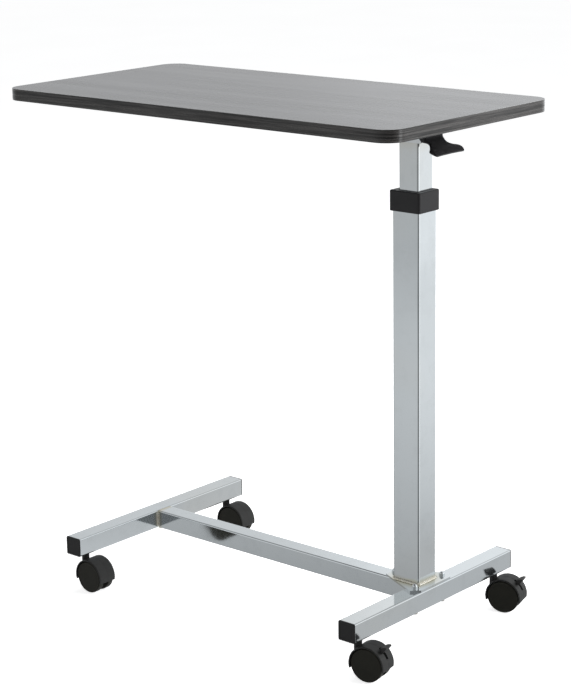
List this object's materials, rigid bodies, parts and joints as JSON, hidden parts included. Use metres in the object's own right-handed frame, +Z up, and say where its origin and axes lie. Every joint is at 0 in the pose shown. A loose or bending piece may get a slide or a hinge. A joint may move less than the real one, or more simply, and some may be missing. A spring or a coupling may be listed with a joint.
{
  "type": "overbed table",
  "caption": "Overbed table: a laminate top on a height-adjustable gas-spring column at one end of a wheeled H base, with a squeeze lever under the top.",
  "frame": {"origin": "on the floor under the middle of the tabletop", "axes": "+Z up; +X along the tabletop towards the column and the lever; +Y across the tabletop"},
  "size_m": [0.76, 0.3907, 0.803],
  "materials": {
    "chrome": "bright chrome plate, slightly wavy",
    "zinc_steel": "zinc plate",
    "bright_steel": "drawn steel",
    "dark_steel": "black satin paint",
    "black_plastic": "fine moulded texture",
    "caster_plastic": "moulded nylon, satin",
    "wheel_plastic": "moulded, plain flat faces",
    "laminate": "dark wood-grain laminate, satin sheen",
    "edging": "dark streaked wood-grain edge band"
  },
  "bodies": {
    "base": {"left_foot_tube": "chrome", "right_foot_tube": "chrome", "cross_tube": "chrome", "end_cap_left_front": "black_plastic", "end_cap_left_back": "black_plastic", "end_cap_right_front": "black_plastic", "end_cap_right_back": "black_plastic", "base_plate": "chrome", "base_bolt_1": "zinc_steel", "base_bolt_2": "zinc_steel", "base_bolt_3": "zinc_steel", "cap_nut_1": "chrome", "cap_nut_2": "chrome", "cap_nut_3": "chrome", "outer_tube": "chrome", "collar": "black_plastic", "spring_seat": "bright_steel", "gas_spring_cylinder": "dark_steel", "gas_spring_guide": "black_plastic", "stem_left_front": "zinc_steel", "stem_left_back": "zinc_steel", "stem_right_front": "zinc_steel", "stem_right_back": "zinc_steel"},
    "lift": {"inner_tube": "chrome", "glide_bush": "black_plastic", "gas_spring_piston": "black_plastic", "gas_spring_rod": "bright_steel", "rod_mount_plate": "bright_steel", "rod_lock_nut": "zinc_steel", "top_channel": "chrome", "support_strap_left": "dark_steel", "top_screw_left_front": "zinc_steel", "top_screw_left_back": "zinc_steel", "support_strap_right": "dark_steel", "top_screw_right_front": "zinc_steel", "top_screw_right_back": "zinc_steel", "tabletop_board": "laminate", "edge_band": "edging", "lever_pin": "bright_steel"},
    "lever": {"release_lever": "black_plastic"},
    "release_pin": {"release_pin": "bright_steel"},
    "caster_left_front": {"hood_left_front": "caster_plastic", "axle_left_front": "bright_steel"},
    "wheel_left_front_a": {"wheel_left_front_a": "wheel_plastic"},
    "wheel_left_front_b": {"wheel_left_front_b": "wheel_plastic"},
    "caster_left_back": {"hood_left_back": "caster_plastic", "axle_left_back": "bright_steel"},
    "wheel_left_back_a": {"wheel_left_back_a": "wheel_plastic"},
    "wheel_left_back_b": {"wheel_left_back_b": "wheel_plastic"},
    "caster_right_front": {"hood_right_front": "caster_plastic", "axle_right_front": "bright_steel"},
    "wheel_right_front_a": {"wheel_right_front_a": "wheel_plastic"},
    "wheel_right_front_b": {"wheel_right_front_b": "wheel_plastic"},
    "brake_right_front": {"brake_lever_right_front": "caster_plastic"},
    "caster_right_back": {"hood_right_back": "caster_plastic", "axle_right_back": "bright_steel"},
    "wheel_right_back_a": {"wheel_right_back_a": "wheel_plastic"},
    "wheel_right_back_b": {"wheel_right_back_b": "wheel_plastic"},
    "brake_right_back": {"brake_lever_right_back": "caster_plastic"}
  },
  "joints": [
    {"name": "column_lift", "type": "slide", "parent": "base", "child": "lift", "axis": [0, 0, 1], "range_m": [-0.068, 0.3]},
    {"name": "lever_pivot", "type": "hinge", "parent": "lift", "child": "lever", "pos_m": [0.2965, 0, 0.771], "axis": [0, -1, 0], "range_deg": [0, 12]},
    {"name": "release_pin_press", "type": "slide", "parent": "lift", "child": "release_pin", "axis": [0, 0, 1], "range_m": [-0.0051, 0], "stiffness_N_per_m": 200, "springref_m": 0.01},
    {"name": "swivel_left_front", "type": "hinge", "parent": "base", "child": "caster_left_front", "pos_m": [-0.2655, -0.168, 0.055], "axis": [0, 0, 1], "continuous": true},
    {"name": "spin_left_front_a", "type": "hinge", "parent": "caster_left_front", "child": "wheel_left_front_a", "pos_m": [-0.244, -0.16837, 0.0255], "axis": [0.0175, 0.9998, 0], "continuous": true},
    {"name": "spin_left_front_b", "type": "hinge", "parent": "caster_left_front", "child": "wheel_left_front_b", "pos_m": [-0.244, -0.16837, 0.0255], "axis": [0.0175, 0.9998, 0], "continuous": true},
    {"name": "swivel_left_back", "type": "hinge", "parent": "base", "child": "caster_left_back", "pos_m": [-0.2655, 0.168, 0.055], "axis": [0, 0, 1], "continuous": true},
    {"name": "spin_left_back_a", "type": "hinge", "parent": "caster_left_back", "child": "wheel_left_back_a", "pos_m": [-0.24401, 0.16875, 0.0255], "axis": [-0.0349, 0.9994, 0], "continuous": true},
    {"name": "spin_left_back_b", "type": "hinge", "parent": "caster_left_back", "child": "wheel_left_back_b", "pos_m": [-0.24401, 0.16875, 0.0255], "axis": [-0.0349, 0.9994, 0], "continuous": true},
    {"name": "swivel_right_front", "type": "hinge", "parent": "base", "child": "caster_right_front", "pos_m": [0.299, -0.168, 0.055], "axis": [0, 0, 1], "continuous": true},
    {"name": "spin_right_front_a", "type": "hinge", "parent": "caster_right_front", "child": "wheel_right_front_a", "pos_m": [0.32023, -0.16464, 0.0255], "axis": [-0.1564, 0.9877, 0], "continuous": true},
    {"name": "spin_right_front_b", "type": "hinge", "parent": "caster_right_front", "child": "wheel_right_front_b", "pos_m": [0.32023, -0.16464, 0.0255], "axis": [-0.1564, 0.9877, 0], "continuous": true},
    {"name": "brake_pedal_right_front", "type": "hinge", "parent": "caster_right_front", "child": "brake_right_front", "pos_m": [0.32616, -0.1637, 0.0375], "axis": [-0.1564, 0.9877, 0], "range_deg": [0, 16]},
    {"name": "swivel_right_back", "type": "hinge", "parent": "base", "child": "caster_right_back", "pos_m": [0.299, 0.168, 0.055], "axis": [0, 0, 1], "continuous": true},
    {"name": "spin_right_back_a", "type": "hinge", "parent": "caster_right_back", "child": "wheel_right_back_a", "pos_m": [0.31986, 0.1732, 0.0255], "axis": [-0.2419, 0.9703, 0], "continuous": true},
    {"name": "spin_right_back_b", "type": "hinge", "parent": "caster_right_back", "child": "wheel_right_back_b", "pos_m": [0.31986, 0.1732, 0.0255], "axis": [-0.2419, 0.9703, 0], "continuous": true},
    {"name": "brake_pedal_right_back", "type": "hinge", "parent": "caster_right_back", "child": "brake_right_back", "pos_m": [0.32568, 0.17465, 0.0375], "axis": [-0.2419, 0.9703, 0], "range_deg": [0, 16]}
  ],
  "couplings": [
    {"joint": "lever_pivot", "follows": "release_pin_press", "rad_per_m": -41}
  ]
}
